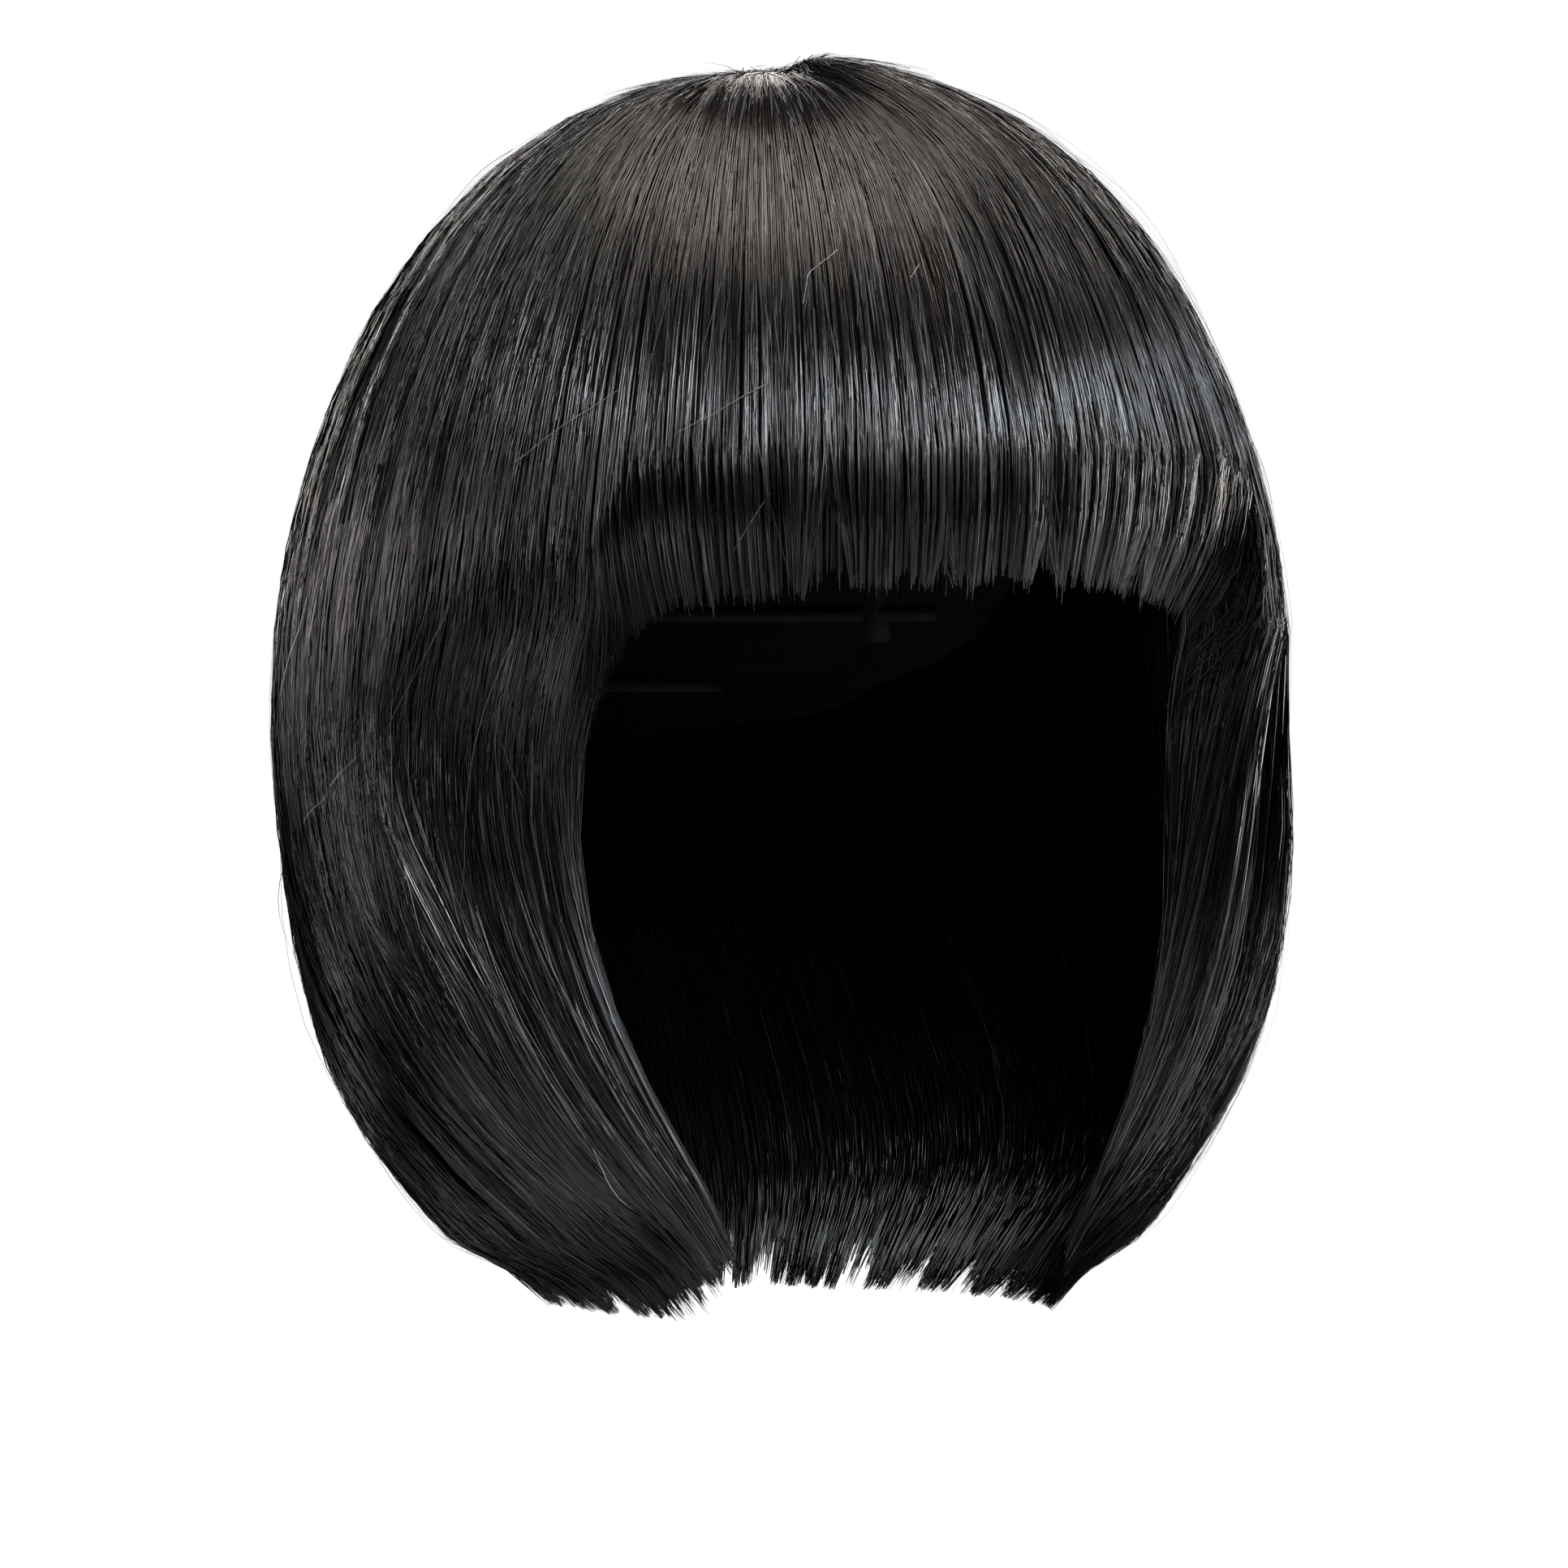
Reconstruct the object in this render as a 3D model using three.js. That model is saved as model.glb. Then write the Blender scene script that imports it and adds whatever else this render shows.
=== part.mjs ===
// A chin-length bob wig with a straight fringe: a close cap that the head goes into, and over it five
// sections of hair that fan out from a whorl at the crown and curl in to their tips.
// Millimetres. The origin is the crown point, where the cap touches the top of the head. +Z is up, the
// face looks along -Y and +X is the wearer's left.
import * as THREE from "three";

const { degToRad, radToDeg, lerp, clamp, smoothstep } = THREE.MathUtils;

// The head that the cap fits. Its front and back reaches are measured from the line between the ears.
const headHalfWidth = 77;
const headFront = 88;
const headBack = 106;
const headDepth = 104; // crown point down to the level where the head is widest
const earLineAhead = 20; // the ear line lies this far in front of the crown point
const domeExponent = 2.18; // 2 is an ellipse, more is squarer
const headTaper = 0.08; // how much narrower the head gets towards the forehead

// The cap
const capWall = 1.6;
const hemExtra = 1.2; // the elastic hem is this much thicker, on the inside
const hemHeight = 9;

// The hair's lengths below the crown point
const bobLength = 240;
const fringeLength = 95.5; // at the middle of the forehead
const fringeArch = 8; // how much lower the fringe's two ends are
const fringeHalfAngle = 55; // degrees from the middle of the face to the fringe's end
const curtainRise = 13; // the side hair's front corners end this much higher
const cornerSpan = 38; // degrees over which that fades towards the back

// The hair's thickness over the cap
const crownPad = 7.7;
const frontPad = 9;
const sidePad = 24;
const backPad = 16;
const padPower = 1.85; // how late the thickness grows from the crown to the sides
const tipWall = 2.2;
const tipTaper = 34; // length over which the hair thins to its cut ends
const edgeRound = 22; // degrees over which the side hair's front edge rounds off
const edgeWall = 0.16; // share of the thickness left at that edge

// The crown
const whorlSpan = 20; // radius of the whorl
const whorlDip = 4.5; // how deep its middle lies
const leftLift = 3.6; // the hair on the wearer's left of the whorl stands this much higher
const leftFullness = 3; // the hair by the wearer's left ear is this much thicker
const leftBlend = 0.34; // sine of the angle over which these two set in
const sideAngle = 115; // degrees from the face to where the side hair gives way to the back hair

// The sweep of the lower hair towards the face, in degrees at the tips
const sweepSide = 24;
const sweepEdge = 15;

// Spans of levels, which run from 0 at the crown to 1 where the head is widest and 2 at the tips
const liftSpan = { start: 0.01, full: 0.09, fade: 0.3, end: 0.9 };
const fullnessSpan = { start: 0.95, full: 1.25, fade: 1.3, end: 1.65 };
const sweepSpan = { start: 1.08, full: 1.78 };
const taperSpan = { fade: 1, end: 1.35 };
const ridgeSpan = { start: 0, full: 1.2 };
const edgeSpan = { before: 0.1, after: 0.4 }; // round the fringe's lower end

// Locks
const ridge = 2.0; // height of a lock over the grooves beside it, at its lower end
const crownRidge = 0.5; // the same at the crown
const notch = 11; // how much shorter the hair is between two locks
const fringeNotch = 6;
const fringeLocks = 14;
const sideLocks = 7;
const backLocks = 14;
const lockJitter = 0.3; // how unequal the locks are
const shortestLock = 0.55; // share of a notch's depth that the shortest lock has
const tipRounding = 0.6; // 1 thins to the tips in a straight line, less stays full for longer

// Clearances
const seatGap = 0.9; // hair to cap, which keeps their facets apart
const jointGap = 0.5; // section to section

// How the hair hangs below the widest level of the head. Drop is a share of the length from there to the
// tips, side, front and back are shares of the head's reach, pad is a share of the hair's thickness, and
// tilt is how far the surface faces up, in degrees.
const hangRows = [
  { drop: 0.0, side: 1.0, front: 1.0, back: 1.0, pad: 1.0, tilt: 0 },
  { drop: 0.152, side: 1.03, front: 0.75, back: 0.99, pad: 0.96, tilt: -1 },
  { drop: 0.318, side: 1.045, front: 0.68, back: 0.955, pad: 0.88, tilt: -4 },
  { drop: 0.462, side: 1.04, front: 0.68, back: 0.905, pad: 0.8, tilt: -12 },
  { drop: 0.591, side: 1.008, front: 0.69, back: 0.845, pad: 0.71, tilt: -22 },
  { drop: 0.705, side: 0.94, front: 0.7, back: 0.775, pad: 0.62, tilt: -33 },
  { drop: 0.795, side: 0.855, front: 0.71, back: 0.715, pad: 0.53, tilt: -43 },
  { drop: 0.864, side: 0.772, front: 0.7, back: 0.665, pad: 0.46, tilt: -50 },
  { drop: 0.924, side: 0.68, front: 0.71, back: 0.625, pad: 0.4, tilt: -52 },
  { drop: 1.0, side: 0.585, front: 0.7, back: 0.59, pad: 0.36, tilt: -52 },
];

// The cap's hem by degrees from the middle of the forehead: its drop as a share of the head's depth
const hemRows = [
  { angle: 0, drop: 0.46 },
  { angle: 30, drop: 0.52 },
  { angle: 50, drop: 0.68 },
  { angle: 64, drop: 0.95 },
  { angle: 76, drop: 0.92 },
  { angle: 90, drop: 0.72 },
  { angle: 106, drop: 0.8 },
  { angle: 126, drop: 1.06 },
  { angle: 150, drop: 1.18 },
  { angle: 180, drop: 1.22 },
];

// Places where the fringe parts and the forehead shows: degrees from the middle of the face, and the gap's
// depth as a share of the fringe's length
const gapHalfWidth = 5; // degrees
const fringeGaps = [
  { angle: -26, depth: 0.15 },
  { angle: 8, depth: 0.06 },
  { angle: 27, depth: 0.1 },
];

// Mesh steps
const capColumns = 48;
const capRings = 9;
const whorlColumns = 28;
const whorlRings = 4;
const fringeRings = 9;
const hangRings = 15;
const lockSteps = 4; // columns in each lock

// The same number from 0 to 1 for the same seed
function chance(seed) {
  const wave = Math.sin(seed * 12.9898 + 4.1414) * 43758.5453;
  return wave - Math.floor(wave);
}

// How far level t is inside a span with soft ends
function within(t, { start, full, fade, end }) {
  return smoothstep(t, start, full) * (1 - smoothstep(t, fade, end));
}

// A smooth curve through evenly spaced rows, at place from 0 to 1, for each of the rows' keys
function throughRows(rows, place) {
  const at = clamp(place, 0, 1) * (rows.length - 1);
  const i = Math.min(Math.floor(at), rows.length - 2);
  const f = at - i;
  const [before, from, to, after] = [-1, 0, 1, 2].map((k) => rows[clamp(i + k, 0, rows.length - 1)]);
  const found = {};
  for (const key of Object.keys(from)) {
    const enter = (to[key] - before[key]) / 2;
    const leave = (after[key] - from[key]) / 2;
    const rise = to[key] - from[key];
    const bend = 3 * rise - 2 * enter - leave;
    const twist = enter + leave - 2 * rise;
    found[key] = from[key] + f * (enter + f * (bend + f * twist));
  }
  return found;
}

// The level t runs from 0 at the crown point to 1 where the head is widest and on to 2 at the longest tips.
// A level holds the head's reaches there, the drop, the tilt of the surface and the share of thickness.
function levelAt(t) {
  if (t <= 1) {
    const angle = (Math.PI / 2) * Math.max(t, 0);
    const spread = Math.sin(angle) ** (2 / domeExponent);
    const rise = Math.max(Math.cos(angle), 0) ** (2 / domeExponent);
    const lean = 2 - 2 / domeExponent;
    const up = headHalfWidth * Math.max(Math.cos(angle), 0) ** lean;
    const out = headDepth * Math.sin(angle) ** lean;
    return {
      drop: headDepth * (1 - rise),
      side: headHalfWidth * spread,
      front: headFront * spread,
      back: headBack * spread,
      centre: -earLineAhead * spread,
      tilt: Math.atan2(up, out),
      growth: Math.max(t, 0) ** padPower,
      taper: headTaper,
      pad: 1,
    };
  }
  const row = throughRows(hangRows, t - 1);
  return {
    drop: headDepth + (bobLength - headDepth) * row.drop,
    side: headHalfWidth * row.side,
    front: headFront * row.front,
    back: headBack * row.back,
    centre: -earLineAhead,
    tilt: degToRad(row.tilt),
    growth: 1,
    taper: headTaper * (1 - smoothstep(t, taperSpan.fade, taperSpan.end)),
    pad: row.pad,
  };
}

// The level at which the head's surface, or the hanging hair's inner one, lies this far below the crown
function levelAtDrop(drop) {
  let [high, low] = [0, 2];
  for (let i = 0; i < 30; i++) {
    const middle = (high + low) / 2;
    if (levelAt(middle).drop < drop) high = middle;
    else low = middle;
  }
  return (high + low) / 2;
}

// The level this many millimetres further from the crown point than level t
function levelPast(t, distance) {
  const step = 0.01;
  const [here, next] = [levelAt(t), levelAt(t + step)];
  return t + (step * distance) / Math.hypot(next.side - here.side, next.drop - here.drop);
}

// A point over the head at level t, angle degrees from the face towards the wearer's left, and this far
// out from the head's surface
function pointAt(angle, t, offset) {
  const level = levelAt(t);
  const turn = degToRad(angle);
  const out = offset * Math.cos(level.tilt);
  const along = Math.cos(turn);
  const reach = (along > 0 ? level.front : level.back) + out;
  const width = (level.side + out) * (1 - level.taper * Math.max(along, 0));
  return new THREE.Vector3(
    width * Math.sin(turn),
    level.centre - reach * along,
    -level.drop + offset * Math.sin(level.tilt),
  );
}

// The hair's thickness over the cap, before it thins to edges and tips
function padAt(angle, t) {
  const level = levelAt(t);
  const [across, along] = [Math.sin(degToRad(angle)), Math.cos(degToRad(angle))];
  const full = sidePad * across ** 2 + (along > 0 ? frontPad : backPad) * along ** 2;
  const leftExtra = leftLift * within(t, liftSpan) + leftFullness * within(t, fullnessSpan);
  const leftShare = smoothstep(across, 0, leftBlend);
  return lerp(crownPad, full * level.pad, level.growth) + leftExtra * leftShare;
}

// Where hair that starts at this angle from the whorl lies at level t: the lower hair sweeps to the face
function sweptAngle(angle, t) {
  if (angle > 180) return 360 - sweptAngle(360 - angle, t);
  if (angle < 0) return -sweptAngle(-angle, t);
  const share = (angle - fringeHalfAngle) / (180 - fringeHalfAngle);
  const most = sweepSide * Math.sin(Math.PI * share) + sweepEdge * (1 - share);
  return angle - most * smoothstep(t, sweepSpan.start, sweepSpan.full);
}

// The closed solid between two grids of points, each a list of columns that run from the crown to the tips.
// A round solid's last column joins its first, and a domed one closes at its first ring.
function solidBetween(outer, inner, { round = false, domed = false }) {
  const [columns, rings] = [outer.length, outer[0].length];
  const grids = [outer, inner];
  const positions = grids.flat(2).flatMap((point) => point.toArray());
  const at = (grid, column, ring) => {
    const start = grid * columns * rings;
    return start + (domed && ring === 0 ? 0 : (column % columns) * rings + ring);
  };
  const faces = [];
  const quad = (a, b, c, d) => {
    if (a !== b && b !== c && a !== c) faces.push(a, b, c);
    if (a !== c && c !== d && a !== d) faces.push(a, c, d);
  };
  for (let c = 0; c < (round ? columns : columns - 1); c++) {
    for (let r = 0; r < rings - 1; r++) {
      quad(at(0, c, r), at(0, c, r + 1), at(0, c + 1, r + 1), at(0, c + 1, r));
      quad(at(1, c, r), at(1, c + 1, r), at(1, c + 1, r + 1), at(1, c, r + 1));
    }
    const end = rings - 1;
    quad(at(0, c, end), at(1, c, end), at(1, c + 1, end), at(0, c + 1, end));
    if (!domed) quad(at(0, c, 0), at(0, c + 1, 0), at(1, c + 1, 0), at(1, c, 0));
  }
  if (!round) {
    const last = columns - 1;
    for (let r = 0; r < rings - 1; r++) {
      quad(at(0, 0, r), at(1, 0, r), at(1, 0, r + 1), at(0, 0, r + 1));
      quad(at(0, last, r), at(0, last, r + 1), at(1, last, r + 1), at(1, last, r));
    }
  }
  const geometry = new THREE.BufferGeometry();
  geometry.setAttribute("position", new THREE.Float32BufferAttribute(positions, 3));
  geometry.setIndex(faces);
  const unshared = geometry.toNonIndexed();
  unshared.computeVertexNormals();
  return unshared;
}

function hemDropAt(angle) {
  const place = Math.abs(angle);
  const next = Math.max(hemRows.findIndex((row) => row.angle >= place), 1);
  const [from, to] = [hemRows[next - 1], hemRows[next]];
  return headDepth * lerp(from.drop, to.drop, smoothstep(place, from.angle, to.angle));
}

function wigCap() {
  const outer = [];
  const inner = [];
  for (let c = 0; c < capColumns; c++) {
    const angle = (360 * c) / capColumns - 180;
    const hem = levelAtDrop(hemDropAt(angle));
    const hemStart = levelAtDrop(hemDropAt(angle) - hemHeight);
    const levels = [];
    for (let r = 0; r < capRings; r++) levels.push((hemStart * r) / (capRings - 1));
    outer.push([...levels, hem].map((t) => pointAt(angle, t, capWall)));
    inner.push([...levels, hem].map((t) => pointAt(angle, t, t === hem ? -hemExtra : 0)));
  }
  return solidBetween(outer, inner, { round: true, domed: true });
}

const hairStart = capWall + seatGap; // the hair's inner surface over the head's
const whorlEnd = levelPast(0, whorlSpan);

function crownWhorl() {
  const outer = [];
  const inner = [];
  for (let c = 0; c < whorlColumns; c++) {
    const angle = (360 * c) / whorlColumns - 180;
    const levels = Array.from({ length: whorlRings + 1 }, (_, r) => (whorlEnd * r) / whorlRings);
    const height = (t) => {
      const dip = whorlDip * (1 - smoothstep(t, 0, whorlEnd));
      return hairStart + padAt(angle, t) - dip + ridgeAt(t) * (c % 2) * (t > 0 ? 1 : 0);
    };
    outer.push(levels.map((t) => pointAt(angle, t, height(t))));
    inner.push(levels.map((t) => pointAt(angle, t, hairStart)));
  }
  return solidBetween(outer, inner, { round: true, domed: true });
}

// Locks stand out more towards their tips
function ridgeAt(t) {
  return lerp(crownRidge, ridge, smoothstep(t, ridgeSpan.start, ridgeSpan.full));
}

// The columns of a section's locks: each has an angle from the face, a ridge share and a tip share, both 0
// between locks and 1 in the middle of one
function lockColumns(from, to, locks, seed) {
  const borders = [];
  for (let i = 0; i <= locks; i++) {
    const jitter = i > 0 && i < locks ? lockJitter * (chance(seed + i) - 0.5) : 0;
    borders.push(lerp(from, to, (i + jitter) / locks));
  }
  const columns = [];
  for (let i = 0; i < locks; i++) {
    const peak = 0.5 + lockJitter * (chance(seed + i + 50) - 0.5);
    const length = lerp(shortestLock, 1, chance(seed + i + 90));
    for (let s = 0; s < lockSteps; s++) {
      const f = s / lockSteps;
      const near = f < peak ? f / peak : (1 - f) / (1 - peak);
      const angle = lerp(borders[i], borders[i + 1], f);
      columns.push({ angle, ridge: Math.sin(Math.PI * f), tip: near * length });
    }
  }
  columns.push({ angle: to, ridge: 0, tip: 0 });
  return columns;
}

// A section of hair between two angles. lengthAt gives the drop of its hair's tips at a column, and thinAt
// the share of thickness that an edge leaves at an angle and level.
function hairSection({ from, to, locks, seed, rings, lengthAt, thinAt }) {
  const outer = [];
  const inner = [];
  const start = levelPast(whorlEnd, jointGap);
  const columns = lockColumns(from, to, locks, seed);
  columns.forEach((column, c) => {
    const inwards = (c === 0 ? 1 : 0) - (c === columns.length - 1 ? 1 : 0);
    const end = levelAtDrop(lengthAt(column));
    const [innerColumn, outerColumn] = [[], []];
    for (let r = 0; r <= rings; r++) {
      const t = lerp(start, end, r / rings);
      const level = levelAt(t);
      const reach = Math.min(level.side, level.front, level.back);
      const angle = sweptAngle(column.angle, t) + inwards * radToDeg(jointGap / 2 / reach);
      const toTip = clamp(((end - t) * (bobLength - headDepth)) / tipTaper, 0, 1) ** tipRounding;
      const thick = padAt(angle, t) * toTip * thinAt(column.angle, t);
      const relief = ridgeAt(t) * column.ridge * toTip;
      innerColumn.push(pointAt(angle, t, hairStart));
      outerColumn.push(pointAt(angle, t, hairStart + Math.max(thick, tipWall) + relief));
    }
    inner.push(innerColumn);
    outer.push(outerColumn);
  });
  return solidBetween(outer, inner, {});
}

function fringeSection() {
  const lengthAt = ({ angle, tip }) => {
    const arch = fringeArch * (angle / fringeHalfAngle) ** 2;
    const gaps = fringeGaps.map((gap) => {
      return gap.depth * Math.max(0, 1 - Math.abs(angle - gap.angle) / gapHalfWidth);
    });
    return fringeLength + arch - fringeNotch * (1 - tip) - fringeLength * Math.max(...gaps);
  };
  return hairSection({
    from: -fringeHalfAngle,
    to: fringeHalfAngle,
    locks: fringeLocks,
    seed: 11,
    rings: fringeRings,
    lengthAt,
    thinAt: () => 1,
  });
}

// The side hair's front edge is free below the fringe, and is rounded there
function curtainThinning(angle, t) {
  const fringeEnd = levelAtDrop(fringeLength + fringeArch);
  const free = smoothstep(t, fringeEnd - edgeSpan.before, fringeEnd + edgeSpan.after);
  const inset = clamp((Math.abs(angle) - fringeHalfAngle) / edgeRound, 0, 1);
  return lerp(1, lerp(edgeWall, 1, Math.sqrt(inset)), free);
}

function hangingSection(from, to, locks, seed) {
  const lengthAt = ({ angle, tip }) => {
    const corner = curtainRise * Math.max(0, 1 - (Math.abs(angle) - fringeHalfAngle) / cornerSpan);
    return bobLength - corner - notch * (1 - tip);
  };
  return hairSection({ from, to, locks, seed, rings: hangRings, lengthAt, thinAt: curtainThinning });
}

const hairMaterial = new THREE.MeshStandardMaterial({ color: 0x1b1818, roughness: 0.42, metalness: 0 });
const capMaterial = new THREE.MeshStandardMaterial({ color: 0x141414, roughness: 0.9, metalness: 0 });

const wig = new THREE.Group();

function addPiece(name, geometry, material) {
  const mesh = new THREE.Mesh(geometry, material);
  mesh.name = name;
  wig.add(mesh);
}

addPiece("wig_cap", wigCap(), capMaterial);
addPiece("crown_whorl", crownWhorl(), hairMaterial);
addPiece("fringe", fringeSection(), hairMaterial);
addPiece("side_hair_right", hangingSection(-sideAngle, -fringeHalfAngle, sideLocks, 31), hairMaterial);
addPiece("side_hair_left", hangingSection(fringeHalfAngle, sideAngle, sideLocks, 57), hairMaterial);
addPiece("back_hair", hangingSection(sideAngle, 360 - sideAngle, backLocks, 73), hairMaterial);

export default wig;
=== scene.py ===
"""A chin-length bob wig of glossy black fibre with a straight fringe, made of fine strands over a net cap.

Metres. The origin is the crown point, +Z is up, the face looks along -Y and +X is the wearer's left. A level
runs from 0 at the crown point to 1 where the head is widest and on to 2 at the longest tips. Angles are in
degrees from the middle of the face towards the wearer's left.
"""

import math

import bpy
import numpy as np
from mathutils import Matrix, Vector


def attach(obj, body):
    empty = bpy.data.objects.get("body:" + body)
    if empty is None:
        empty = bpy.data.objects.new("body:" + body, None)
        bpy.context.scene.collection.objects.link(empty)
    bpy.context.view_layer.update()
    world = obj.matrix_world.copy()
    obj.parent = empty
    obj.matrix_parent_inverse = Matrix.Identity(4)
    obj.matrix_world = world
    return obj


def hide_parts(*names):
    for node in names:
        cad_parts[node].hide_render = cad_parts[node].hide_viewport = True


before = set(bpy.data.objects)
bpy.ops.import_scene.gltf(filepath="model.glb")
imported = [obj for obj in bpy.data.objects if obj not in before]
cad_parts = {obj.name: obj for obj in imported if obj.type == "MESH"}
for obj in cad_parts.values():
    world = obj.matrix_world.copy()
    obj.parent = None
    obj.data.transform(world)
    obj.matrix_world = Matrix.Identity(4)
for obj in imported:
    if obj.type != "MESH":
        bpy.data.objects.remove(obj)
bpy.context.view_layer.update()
MM = 0.001

# The head that the cap fits
HEAD_HALF_WIDTH = 77 * MM
HEAD_FRONT = 88 * MM
HEAD_BACK = 106 * MM
HEAD_DEPTH = 104 * MM
EAR_LINE_AHEAD = 20 * MM
DOME_EXPONENT = 2.18
HEAD_TAPER = 0.08

# The hair's lengths and thickness
BOB_LENGTH = 240 * MM
FRINGE_LENGTH = 95.5 * MM
FRINGE_ARCH = 8 * MM
FRINGE_HALF_ANGLE = 55
CURTAIN_RISE = 13 * MM
CORNER_SPAN = 38
SIDE_ANGLE = 115
CROWN_PAD = 7.7 * MM
FRONT_PAD = 9 * MM
SIDE_PAD = 24 * MM
BACK_PAD = 16 * MM
PAD_POWER = 1.85
LEFT_LIFT = 3.6 * MM
LEFT_FULLNESS = 3 * MM
LEFT_BLEND = 0.34
TIP_WALL = 2.2 * MM
TIP_TAPER = 34 * MM
FRINGE_TAPER = 19 * MM
TIP_ROUNDING = 0.6
EDGE_ROUND = 22
EDGE_WALL = 0.16
HAIR_START = 2.5 * MM  # over the head, outside the cap
SWEEP_SIDE = 24
SWEEP_EDGE = 15

# Locks
NOTCH = 11 * MM
FRINGE_NOTCH = 6 * MM
LOCK_JITTER = 0.3
SHORTEST_LOCK = 0.55
LOCK_RELIEF = 0.9 * MM

# Drop, side, front, back and pad shares and the tilt in degrees, from the widest level to the tips
HANG_ROWS = np.array(
    [
        (0.0, 1.0, 1.0, 1.0, 1.0, 0),
        (0.152, 1.03, 0.75, 0.99, 0.96, -1),
        (0.318, 1.045, 0.68, 0.955, 0.88, -4),
        (0.462, 1.04, 0.68, 0.905, 0.8, -12),
        (0.591, 1.008, 0.69, 0.845, 0.71, -22),
        (0.705, 0.94, 0.7, 0.775, 0.62, -33),
        (0.795, 0.855, 0.71, 0.715, 0.53, -43),
        (0.864, 0.772, 0.7, 0.665, 0.46, -50),
        (0.924, 0.68, 0.71, 0.625, 0.4, -52),
        (1.0, 0.585, 0.7, 0.59, 0.36, -52),
    ]
)

# Where the fringe parts: degrees, half width in degrees, and how far up from the tips it opens
FRINGE_GAPS = [
    (-25.5, 4.6, 14 * MM),
    (8, 3, 6 * MM),
    (27, 3.6, 8 * MM),
    (-9, 2.4, 4 * MM),
    (41, 2.6, 5 * MM),
]


def smoothstep(x, low, high):
    place = np.clip((x - low) / (high - low), 0, 1)
    return place * place * (3 - 2 * place)


def within(t, start, full, fade, end):
    return smoothstep(t, start, full) * (1 - smoothstep(t, fade, end))


def blend(a, b, share):
    return a + (b - a) * share


def fold(angle):
    """How far an angle is from the middle of the face on its own side, 0 to 180."""
    return np.where(angle > 180, 360 - angle, np.abs(angle))


def chance(seed):
    """The same number from 0 to 1 for the same seed."""
    wave = math.sin(seed * 12.9898 + 4.1414) * 43758.5453
    return wave - math.floor(wave)


def hanging_rows(place):
    """The rows' values at place, 0 to 1, on a smooth curve through them."""
    last = len(HANG_ROWS) - 1
    at = np.clip(place, 0, 1) * last
    i = np.minimum(at.astype(int), last - 1)
    f = (at - i)[..., None]
    rows = [HANG_ROWS[np.clip(i + k, 0, last)] for k in (-1, 0, 1, 2)]
    enter = (rows[2] - rows[0]) / 2
    leave = (rows[3] - rows[1]) / 2
    rise = rows[2] - rows[1]
    return rows[1] + f * (enter + f * (3 * rise - 2 * enter - leave + f * (enter + leave - 2 * rise)))


class Level:
    """The head's reaches, drop and tilt and the hair's thickness shares at levels t."""

    def __init__(self, t):
        t = np.asarray(t, float)
        turn = np.pi / 2 * np.clip(t, 0, 1)
        spread = np.sin(turn) ** (2 / DOME_EXPONENT)
        rise = np.cos(turn).clip(0) ** (2 / DOME_EXPONENT)
        lean = 2 - 2 / DOME_EXPONENT
        up = HEAD_HALF_WIDTH * np.cos(turn).clip(0) ** lean
        out = HEAD_DEPTH * np.sin(turn) ** lean
        drop, side, front, back, pad, tilt = np.moveaxis(hanging_rows(t - 1), -1, 0)
        low = t > 1
        self.drop = np.where(low, HEAD_DEPTH + (BOB_LENGTH - HEAD_DEPTH) * drop, HEAD_DEPTH * (1 - rise))
        self.side = HEAD_HALF_WIDTH * np.where(low, side, spread)
        self.front = HEAD_FRONT * np.where(low, front, spread)
        self.back = HEAD_BACK * np.where(low, back, spread)
        self.centre = -EAR_LINE_AHEAD * np.where(low, 1, spread)
        self.tilt = np.where(low, np.radians(tilt), np.arctan2(up, out))
        self.growth = np.where(low, 1, np.clip(t, 0, 1) ** PAD_POWER)
        self.pad = np.where(low, pad, 1)
        self.taper = HEAD_TAPER * (1 - smoothstep(t, 1, 1.35))


LEVELS = np.linspace(0, 2, 4001)
DROPS = Level(LEVELS).drop


def level_at_drop(drop):
    return np.interp(drop, DROPS, LEVELS)


def locate(angle, t, offset):
    """Points over the head at level t, angle degrees from the face, and offset out from its surface."""
    level = Level(t)
    turn = np.radians(angle)
    out = offset * np.cos(level.tilt)
    along = np.cos(turn)
    reach = np.where(along > 0, level.front, level.back) + out
    width = (level.side + out) * (1 - level.taper * along.clip(0))
    return np.stack(
        [
            width * np.sin(turn),
            level.centre - reach * along,
            -level.drop + offset * np.sin(level.tilt),
        ],
        -1,
    )


def pad_at(angle, t):
    """The hair's thickness before it thins to edges and tips."""
    level = Level(t)
    across = np.sin(np.radians(angle))
    along = np.cos(np.radians(angle))
    full = SIDE_PAD * across**2 + np.where(along > 0, FRONT_PAD, BACK_PAD) * along**2
    left = LEFT_LIFT * within(t, 0.01, 0.09, 0.3, 0.9) + LEFT_FULLNESS * within(t, 0.95, 1.25, 1.3, 1.65)
    return blend(CROWN_PAD, full * level.pad, level.growth) + left * smoothstep(across, 0, LEFT_BLEND)


def swept(angle, t):
    """Where hair that leaves the whorl at this angle lies at level t: the lower hair sweeps to the face."""
    folded = fold(angle)
    share = (folded - FRINGE_HALF_ANGLE) / (180 - FRINGE_HALF_ANGLE)
    most = SWEEP_SIDE * np.sin(np.pi * share) + SWEEP_EDGE * (1 - share)
    turned = folded - most * smoothstep(t, 1.08, 1.78)
    return np.where(angle > 180, 360 - turned, np.sign(angle) * turned)


FRINGE_END = level_at_drop(FRINGE_LENGTH + FRINGE_ARCH)


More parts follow.
